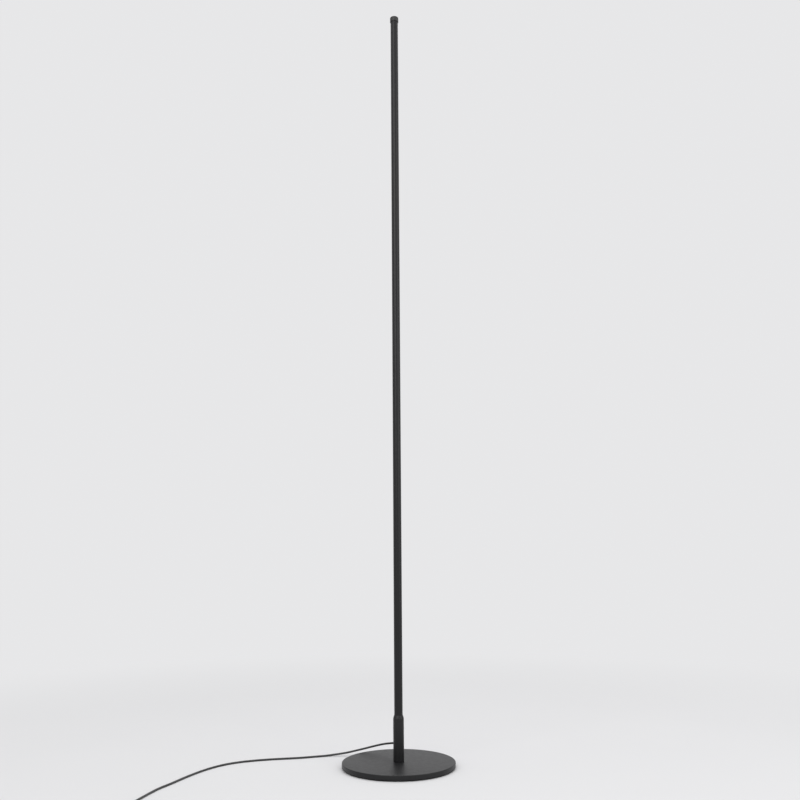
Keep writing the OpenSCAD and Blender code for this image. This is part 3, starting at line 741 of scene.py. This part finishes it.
def make_sleeve(look):
    """The socket tube: tapered rim, the cord's hole at the back and a countersunk hole on each side."""
    top = high("sleeve").z
    taper_z, rim_r = top - 5.5 * MM, BORE_R + 0.3 * MM
    foot_edge, taper_edge, rim_edge = 0.3 * MM, 0.8 * MM, 0.12 * MM
    profile = [(BORE_R, BASE_TOP), (SLEEVE_R, BASE_TOP, foot_edge), (SLEEVE_R, taper_z, taper_edge),
               (rim_r, top, rim_edge), (BORE_R, top, rim_edge)]
    tube = finish_mesh("socket_tube", lathe(fillet(profile), 128, closed=True), look["powder"])
    cord_hole_r, cord_hole_l, grub_hole_r, sink_r = 3.2 * MM, 12 * MM, 2.05 * MM, 2.45 * MM
    inside, outside = 5 * MM, SLEEVE_R + MM
    sink_low, sink_high = SLEEVE_R - 0.25 * MM, SLEEVE_R + 0.15 * MM
    holes = [drill(cord_hole_r, along_y(0, 0, CORD_Z), cord_hole_l)]
    for side in (-1, 1):
        place = Matrix.Translation((0, 0, GRUB_Z)) @ Matrix.Rotation(side * math.pi / 2, 4, "Y")
        holes.append(lathe([(grub_hole_r, inside), (grub_hole_r, sink_low), (sink_r, sink_high),
                            (sink_r, outside)], 48, place=place))
    cut(tube, *holes)
    stand_for(tube, "sleeve")


def make_cord_relief(look):
    """The ribbed strain relief: a collar that fits the tube's curve, and a tapered nose."""
    place = along_y(0, 0, CORD_Z)
    inner, flange_y = 1.8 * MM, 5.06 * MM
    flange_t, flange_r, neck_r, tip_r = 1.2 * MM, 4.2 * MM, 3.1 * MM, 2.4 * MM
    collar_in, collar_out, collar_r, collar_bore = 6.5 * MM, SLEEVE_R + 1.7 * MM, 4.5 * MM, inner + MM
    ribs, groove_w, groove_r, rib_edge = 4, 1.2 * MM, 2.25 * MM, 0.25 * MM
    rib_start, rib_end = collar_out + 1.3 * MM, RELIEF_END - 1.6 * MM
    outline = [(inner, flange_y), (flange_r, flange_y), (flange_r, flange_y + flange_t, 0.2 * MM),
               (neck_r, flange_y + flange_t)]
    for k in range(ribs):
        a = rib_start + k * (rib_end - rib_start) / ribs
        b = a + groove_w
        for y, in_groove in ((a, False), (a, True), (b, True), (b, False)):
            share = (y - collar_out) / (RELIEF_END - collar_out)
            outer = neck_r + (tip_r - neck_r) * share
            outline.append((groove_r if in_groove else outer, y, rib_edge))
    outline += [(tip_r, RELIEF_END, 0.5 * MM), (inner, RELIEF_END)]
    relief = finish_mesh("cord_exit_relief", lathe(fillet(outline, 3), 64, closed=True, place=place),
                         look["jacket"])
    outline = [(collar_bore, collar_in), (collar_r, collar_in), (collar_r, collar_out, 0.6 * MM),
               (collar_bore, collar_out)]
    collar = finish_mesh("collar", lathe(fillet(outline), 64, closed=True, place=place), look["jacket"])
    tube_r, reach = SLEEVE_R + 0.03 * MM, 10 * MM
    cut(collar, drill(tube_r, Matrix.Translation((0, 0, CORD_Z - reach)), 2 * reach, 128))
    bm = bmesh.new()
    bm.from_mesh(collar.data)
    bpy.data.objects.remove(collar)
    join(relief, bm)
    stand_for(relief, "cord_relief")


# -------- light bar

WALL = 1.2 * MM  # the thickness of the bar's wall, its web and the cover


def make_bar(look):
    """The round extrusion: its closed front chamber, the strip's seat, snap lips and soft slot edges."""
    in_r, lip_r = BAR_R - WALL, BAR_R - 1.7 * MM
    slot, lip = 3 * MM, 0.8 * MM
    edge = (on_circle(BAR_R, slot), slot, 0.22 * MM)
    start = angle_at(BAR_R, slot)
    rim = arc(0, 0, BAR_R, start, -180 - start, 96)[1:-1]
    inside = [(on_circle(lip_r, slot), slot, 0.12 * MM), (on_circle(lip_r, slot - lip), slot - lip),
              *arc(0, 0, in_r, angle_at(in_r, slot - lip), 0, 6)]
    outline = fillet([edge, *rim, *flip([edge]), *flip(inside), *reversed(inside)])
    start = angle_at(in_r, WALL)
    chamber = arc(0, 0, in_r, -start, start - 180, 48)
    bm = section([outline, chamber], low("light_bar").z, high("light_bar").z)
    bar = finish_mesh("bar_extrusion", bm, look["bar"], sharp=PROFILE_SHARP)
    stand_for(bar, "light_bar")


def make_cover(look):
    """The opal cover: the rest of the bar's circle, with a fine groove at each seam and hooked legs."""
    in_r, seam, groove = BAR_R - WALL, 3.05 * MM, 0.22 * MM
    leg_in, leg_out, hook_out = 4.114 * MM, 4.814 * MM, 5.707 * MM
    hook_top, hook_low, hook_edge = 2.05 * MM, 1.25 * MM, 0.1 * MM
    start = angle_at(BAR_R, seam)
    outer = arc(0, 0, BAR_R, start, 180 - start, 64)
    outer[0], outer[-1] = (*outer[0], groove), (*outer[-1], groove)
    leg = [(leg_out, seam), (leg_out, hook_top), (hook_out, hook_top, hook_edge),
           (leg_out, hook_low), (leg_in, hook_low)]
    start = angle_at(in_r, on_circle(in_r, leg_in))
    inner = arc(0, 0, in_r, start, 180 - start, 40)
    outline = fillet([*outer, *flip(leg), *reversed(inner), *reversed(leg)])
    bm = section([outline], low("diffuser").z, high("diffuser").z)
    cover = finish_mesh("opal_cover", bm, look["opal"], sharp=PROFILE_SHARP)
    stand_for(cover, "diffuser")


def make_cap(look):
    """The push-on top cap: a skirt with a softened rim and a round-shouldered, faintly crowned top."""
    radius, inner, roof = high("top_cap").x, BAR_R + SLIP, high("light_bar").z
    top = high("top_cap").z
    bottom = top - 10 * MM
    shoulder, crown, lead_in, rim, corner = 1.2 * MM, 0.12 * MM, 0.3 * MM, 0.35 * MM, 0.1 * MM
    profile = [(0, roof), (inner, roof), (inner, bottom + lead_in), (inner + lead_in, bottom),
               (radius - rim, bottom), (radius - corner, bottom + corner), (radius, bottom + rim)]
    profile += arc(radius - shoulder, top - shoulder - crown, shoulder, 0, 90, 12)
    profile += [(radius * share, top - crown * share * share) for share in (0.6, 0.4, 0.2, 0)]
    cap = finish_mesh("end_cap", lathe(profile), look["cap"])
    stand_for(cap, "top_cap")


# -------- controller

NOSE_ROOT_R = 2.9 * MM
NOSE_TIP_R = 2.3 * MM


def case_shell(insets, width, length, radius):
    """A loft of rounded rectangles about the controller's middle; insets are (inset, height)."""
    centre = Vector((CASE_X, CASE_Y, 0))
    return loft([[p + centre for p in
                  rounded_ring(width - 2 * inset, length - 2 * inset, radius - inset, z)]
                 for inset, z in insets])


def column(radius, y, z, height, segments=32):
    """An upright cylinder on the controller's middle line."""
    return drill(radius, Matrix.Translation((CASE_X, y, z)), height, segments)


def make_case(look):
    """The controller's two hollow shells, with a parting groove and a shallow dish round the buttons."""
    wall, corner, groove, edge, port_r = 1.6 * MM, 4 * MM, 0.18 * MM, 1.1 * MM, 2.55 * MM
    # Half a facet of turn keeps the port cutter's corners off the parting plane
    port_place = along_y(CASE_X, CASE_Y - CASE_L, PORT_Z) @ Matrix.Rotation(TAU / 96, 4, "Z")
    halves = []
    for name, node, flat, sense in (("controller_base", "case_bottom", 0, 1),
                                    ("controller_lid", "case_top", CASE_TOP, -1)):
        insets = [(inset, flat + sense * depth) for inset, depth in quarter(edge, 6)]
        insets += [(0, PORT_Z - sense * groove), (groove, PORT_Z)]
        half = finish_mesh(name, case_shell(insets, CASE_W, CASE_L, corner), look["case"])
        hollow = [(0, flat + sense * wall), (0, PORT_Z + sense * MM)]
        cut(half, case_shell(hollow, CASE_W - 2 * wall, CASE_L - 2 * wall, corner - wall),
            drill(port_r, port_place, 2 * CASE_L))
        halves.append(stand_for(half, node))
    base, lid = halves
    # Bosses with a hole for the screw and its head, and the posts with a core that the screw bites
    post_y, over, under = 8 * MM, 0.1 * MM, MM
    boss_r, boss_h, hole_r, hole_h = 3 * MM, 2.9 * MM, 1.15 * MM, 6.4 * MM
    head_r, head_h = 2 * MM, 2.3 * MM
    post_r, post_z, post_h, core_r, core_h = 2 * MM, 4.5 * MM, 5 * MM, MM, 4.9 * MM
    for y in (CASE_Y - post_y, CASE_Y + post_y):
        join(base, column(boss_r, y, wall - over, boss_h))
        cut(base, column(hole_r, y, -under, hole_h), column(head_r, y, -under, head_h))
        join(lid, column(post_r, y, post_z, post_h))
        cut(lid, column(core_r, y, post_z - under, core_h))
    dish_w, dish_l, dish_corner, slope, depth = 11.4 * MM, 43.4 * MM, 5.6 * MM, 0.35 * MM, 0.25 * MM
    cut(lid, case_shell([(slope, CASE_TOP - depth), (0, CASE_TOP + over)], dish_w, dish_l, dish_corner))
    button_r, button_z, button_h = 4.15 * MM, CASE_TOP - 2 * MM, 3 * MM
    for name in BUTTONS:
        cut(lid, column(button_r, middle(name).y, button_z, button_h, 64))
    return halves


def make_buttons(look):
    """Soft-touch buttons: flange below, rounded edge and a faintly dished top."""
    flange_r, flange_t, bevel, radius, edge = 4.6 * MM, 0.8 * MM, 0.1 * MM, 4 * MM, 0.6 * MM
    dish = [(3 * MM, 0.03 * MM), (2 * MM, 0.045 * MM), (0, 0.05 * MM)]
    for node in BUTTONS:
        centre, bottom = middle(node), low(node).z
        profile = [(0, bottom), (flange_r - bevel, bottom), (flange_r, bottom + bevel),
                   (flange_r, bottom + flange_t), (radius, bottom + flange_t)]
        profile += arc(radius - edge, BUTTON_TOP - edge, edge, 0, 90, 8)
        profile += [(r, BUTTON_TOP - depth) for r, depth in dish]
        bm = lathe(profile, 64, place=Matrix.Translation((centre.x, centre.y, 0)))
        button = finish_mesh(node.replace("button", "key"), bm, look["button"], node)
        stand_for(button, node)


def stroke(points, width):
    """The outline of a line of that width through points, with mitred corners."""
    last = len(points) - 1
    left, right = [], []
    for i, point in enumerate(points):
        here = Vector(point)
        before, after = Vector(points[max(i - 1, 0)]), Vector(points[min(i + 1, last)])
        way = (after - before).normalized()
        turn = Vector((-way.y, way.x))
        if 0 < i < last:
            first = (here - before).normalized()
            turn /= max(0.5, turn.dot(Vector((-first.y, first.x))))
        left.append(tuple(here + turn * width / 2))
        right.append(tuple(here - turn * width / 2))
    return left + right[::-1]


def make_marks(look):
    """Raised marks printed on the buttons: power, mode and speed."""
    line, sunk, proud = 0.42, 0.1 * MM, 0.05 * MM
    dots = [(0.42, x, y) for x, y in arc(0, 0, 1.6, 0, 300, 5)] + [(0.55, 0, 0)]
    marks = {  # outlines in millimetres from the middle of the button
        "button_power": [stroke(arc(0, 0, 1.7, 125, 415, 28), line), stroke([(0, 0.5), (0, 2.1)], line)],
        "button_mode": [arc(x, y, radius, 0, 345, 23) for radius, x, y in dots],
        "button_speed": [stroke([(-1.5, y), (0, y + 1.2), (1.5, y)], line) for y in (-1.3, 0.2)],
    }
    for node, outlines in marks.items():
        centre = middle(node)
        bm = bmesh.new()
        for outline in outlines:
            placed = [(centre.x + x * MM, centre.y + y * MM) for x, y in outline]
            add_section(bm, [placed], BUTTON_TOP - sunk, BUTTON_TOP + proud)
        mark = finish_mesh(node.replace("button", "mark"), bm, look["print"], node)


def nose_profile(bore_r):
    """A ribbed strain relief's outline as (radius, distance), from its root to its tip."""
    grooves, margin, groove_w, groove_t, edge = 5, 1.1 * MM, 0.8 * MM, 0.35 * MM, 0.15 * MM
    outline = [(NOSE_ROOT_R, 0)]
    for k in range(grooves):
        a = margin + k * (NOSE_L - 2 * margin) / grooves
        b = a + groove_w
        for y, depth in ((a, 0), (a, groove_t), (b, groove_t), (b, 0)):
            outer = NOSE_ROOT_R + (NOSE_TIP_R - NOSE_ROOT_R) * y / NOSE_L
            outline.append((outer - depth, y, edge))
    return outline + [(NOSE_TIP_R, NOSE_L, 0.3 * MM), (bore_r, NOSE_L)]


def make_noses(look):
    """The controller's two strain reliefs: a flange held inside the case, a neck and a ribbed nose."""
    flange_y, flange_t, neck_r, flange_r, bore_r = -3.3 * MM, 1.6 * MM, 2.5 * MM, 3.5 * MM, 1.78 * MM
    outline = [(bore_r, flange_y), (flange_r, flange_y), (flange_r, flange_y + flange_t),
               (neck_r, flange_y + flange_t), (neck_r, 0), *nose_profile(bore_r)]
    made = []
    for node, sense in (("relief_in", 1), ("relief_out", -1)):
        place = along_y(CASE_X, CASE_Y + sense * CASE_L / 2, PORT_Z, sense)
        bm = lathe(fillet(outline, 3), 48, closed=True, place=place)
        nose = finish_mesh(node.replace("relief", "nose"), bm, look["jacket"])
        made.append(stand_for(nose, node))
    return made


# -------- plug and tie


def make_grip(look):
    """The plug's moulded grip, waisted and ribbed, with its nose."""
    width, thick, corner, edge = 15.6 * MM, 8 * MM, 2.5 * MM, 0.9 * MM
    waist, waist_share, steps = 0.45 * MM, 0.8, 24
    length = high("plug_grip").y - GRIP_Y
    place = along_y(PLUG_X, GRIP_Y, PLUG_Z)
    ends = quarter(edge, 5)[:-1]
    levels = [(depth, inset, 0) for inset, depth in ends]
    for k in range(1, steps):
        y = length * k / steps
        swing = math.sin(math.pi * min(1, y / (waist_share * length)))
        levels.append((y, 0, waist * swing ** 2))
    levels += [(length - depth, inset, 0) for inset, depth in reversed(ends)]
    rings = [[place @ p for p in rounded_ring(width - 2 * (inset + narrow), thick - 2 * inset,
                                              corner - inset, z)] for z, inset, narrow in levels]
    grip = finish_mesh("grip", loft(rings), look["case"])
    slots, slot_y, slot_pitch, slot_depth = 6, GRIP_Y + 5.2 * MM, 2.1 * MM, 0.35 * MM
    slot = rectangle(4.2 * MM, 0.5 * MM, 0.5 * MM)
    for k in range(slots):
        for z in (PLUG_Z - thick / 2, PLUG_Z + thick / 2):
            cut(grip, section([slot], -slot_depth, slot_depth,
                              Matrix.Translation((PLUG_X, slot_y + k * slot_pitch, z))))
    socket, socket_depth = rectangle(6.05 * MM, 2.3 * MM, 0.4 * MM), 6.1 * MM
    cut(grip, section([socket], length - socket_depth, length + MM, place))
    root = [(0, -MM), (NOSE_ROOT_R, -MM)]
    join(grip, lathe(root + fillet(nose_profile(0), 3, closed=False), 48,
                     place=along_y(PLUG_X, GRIP_Y, PLUG_Z, -1)))
    return stand_for(grip, "plug_grip")


def make_shell(look):
    """The plug's folded metal shell, with its seam below and two windows through both faces."""
    half_w, half_h, sheet, length = 6 * MM, 2.25 * MM, 0.3 * MM, 18 * MM
    window, window_x, window_y = rectangle(1.25 * MM, 1.25 * MM, 0.25 * MM), 2.6 * MM, 5.95 * MM
    tip, reach = high("plug_shell").y, 5 * MM
    outlines = [rectangle(half_w, half_h, 0.6 * MM),
                rectangle(half_w - sheet, half_h - sheet, 0.35 * MM)]
    bm = section(outlines, 0, length, along_y(PLUG_X, low("plug_shell").y, PLUG_Z))
    shell = finish_mesh("shell", bm, look["nickel"])
    seam = rectangle(0.06 * MM, 10 * MM, 0)
    cut(shell, section([seam], -reach, -0.5 * MM, Matrix.Translation((PLUG_X, tip, PLUG_Z))))
    for x in (PLUG_X - window_x, PLUG_X + window_x):
        place = Matrix.Translation((x, tip - window_y, PLUG_Z))
        cut(shell, section([window], -reach, reach, place))
    return stand_for(shell, "plug_shell")


def make_tie(look):
    """The twist tie round the coil: a flat plastic strip over a wire, and its twisted tail."""
    tie_x, start_y = middle("coil_tie").x, low("coil_tie").y
    band_t, width, corner, depth = 0.5 * MM, 4 * MM, 1.5 * MM, 13.1 * MM
    height = 2 * band_t + 7.9 * MM
    face_in, face_out = 0.1 * MM, 0.42 * MM
    inner = [(0.55 * MM, face_in), (width / 2, face_in)]
    outer = [(width / 2, face_out), (0.5 * MM, face_out)]
    strip = [*flip(inner)[::-1], (0, 0), *inner, *outer, (0, band_t), *flip(outer)[::-1]]
    path = [Vector((0, start_y + depth / 2 + y, height / 2 + z))
            for y, z in rectangle(depth / 2, height / 2, corner, 8)]
    rings = []
    for i, here in enumerate(path):
        way = (path[(i + 1) % len(path)] - path[i - 1]).normalized()
        inward = Vector((1, 0, 0)).cross(way)
        rings.append([Vector((tie_x + x, 0, 0)) + here + inward * t for x, t in strip])
    tie = finish_mesh("twist_tie", loft(rings, closed=True), look["tie"])
    tail_y, tail_z, tail_l = start_y + depth - 0.1 * MM, 3.95 * MM, 9 * MM
    strip_w, strip_t, wire_w, wire_t = 1.2 * MM, 0.3 * MM, 0.4 * MM, 0.45 * MM  # half sizes
    twist, flare, flare_from, steps = math.radians(540), 0.6, 0.85, 36
    rings = []
    for k in range(steps + 1):
        share = k / steps
        turn = twist * share
        w = strip_w * (1 + flare * max(0, share - flare_from) / (1 - flare_from))
        around = [(w, -strip_t), (w, strip_t), (wire_w, wire_t), (-wire_w, wire_t),
                  (-w, strip_t), (-w, -strip_t), (-wire_w, -wire_t), (wire_w, -wire_t)]
        rings.append([Vector((tie_x + x * math.cos(turn) - z * math.sin(turn), tail_y + tail_l * share,
                              tail_z + x * math.sin(turn) + z * math.cos(turn))) for x, z in around])
    join(tie, loft(rings))
    return stand_for(tie, "coil_tie")


# -------- floor and light

BACKGROUND = (0.80, 0.80, 0.81, 1)
WORLD_LIGHT = 0.55
FLOOR_R = 12
FADE_FROM, FADE_TO = 0.5, 1.8  # metres from the lamp between which the floor turns into the background


def make_floor():
    """A wide pale floor that fades into the background far from the lamp."""
    bm = bmesh.new()
    bmesh.ops.create_circle(bm, cap_ends=True, segments=96, radius=FLOOR_R)
    floor = object_of("floor", bm)
    look = Look("floor", (0.70, 0.70, 0.71), 0.9, specular=0.1)
    look.mottle(look.noise(0.5), (0.695, 0.695, 0.705), (0.705, 0.705, 0.715))
    away = look.node("ShaderNodeVectorMath", operation="LENGTH")
    look.link(look.place, away.inputs[0])
    share = look.span(away.outputs["Value"], 0, 1, FADE_FROM, FADE_TO)
    share.node.interpolation_type = "SMOOTHSTEP"
    rays = look.node("ShaderNodeLightPath")
    seen = look.math("MAXIMUM", rays.outputs["Is Camera Ray"], rays.outputs["Is Glossy Ray"])
    glow = look.node("ShaderNodeEmission")
    glow.inputs["Color"].default_value = BACKGROUND
    mix = look.node("ShaderNodeMixShader")
    look.link(look.math("MULTIPLY", share, seen), mix.inputs["Fac"])
    look.link(look.shader.outputs["BSDF"], mix.inputs[1])
    look.link(glow.outputs["Emission"], mix.inputs[2])
    look.link(mix.outputs["Shader"], look.tree.nodes["Material Output"].inputs["Surface"])
    floor.data.materials.append(look.material)


def make_world():
    """Even soft light all round; the camera, mirrors and glass see the pale background."""
    world = bpy.data.worlds.new("studio")
    bpy.context.scene.world = world
    world.use_nodes = True
    nodes, link = world.node_tree.nodes, world.node_tree.links.new
    light = nodes["Background"]
    light.inputs["Color"].default_value = (1, 1, 1, 1)
    light.inputs["Strength"].default_value = WORLD_LIGHT
    seen = nodes.new("ShaderNodeBackground")
    seen.inputs["Color"].default_value = BACKGROUND
    rays = nodes.new("ShaderNodeLightPath")
    mix = nodes.new("ShaderNodeMixShader")
    seen_by = rays.outputs["Is Camera Ray"]
    for kind in ("Is Glossy Ray", "Is Transmission Ray"):
        most = nodes.new("ShaderNodeMath")
        most.operation = "MAXIMUM"
        link(seen_by, most.inputs[0])
        link(rays.outputs[kind], most.inputs[1])
        seen_by = most.outputs["Value"]
    link(seen_by, mix.inputs["Fac"])
    link(light.outputs["Background"], mix.inputs[1])
    link(seen.outputs["Background"], mix.inputs[2])
    link(mix.outputs["Shader"], nodes["World Output"].inputs["Surface"])


# Each lamp's name, place, the point that it faces, size in metres and power in watts
LIGHTS = [
    ("key", (-1.3, -3.0, 2.4), (0, 0, 0.6), (2.6, 2.6), 60),
    ("fill", (2.4, -1.6, 1.6), (0, 0, 0.6), (2.2, 2.4), 28),
    ("top", (0.3, 0.9, 3.4), (0, 0.1, 0), (2.6, 2.6), 46),
]


def make_lights():
    for name, at, aim, size, watts in LIGHTS:
        data = bpy.data.lights.new(name, "AREA")
        data.shape = "RECTANGLE"
        data.size, data.size_y = size
        data.energy = watts
        lamp = new_object(name, data)
        lamp.location = at
        lamp.rotation_euler = (Vector(aim) - Vector(at)).to_track_quat("-Z", "Y").to_euler()


# -------- the lamp

make_camera()
LOOKS = make_looks()
CORDS = make_cords(LOOKS["jacket"])
make_base(LOOKS)
make_sleeve(LOOKS)
make_cord_relief(LOOKS)
make_bar(LOOKS)
make_cover(LOOKS)
make_cap(LOOKS)
CONTROLLER = [*make_case(LOOKS), *make_noses(LOOKS)]
make_buttons(LOOKS)
make_marks(LOOKS)
PLUG = [make_grip(LOOKS), make_shell(LOOKS)]
TIE = make_tie(LOOKS)
dress_carried(LOOKS)
make_floor()
make_world()
make_lights()
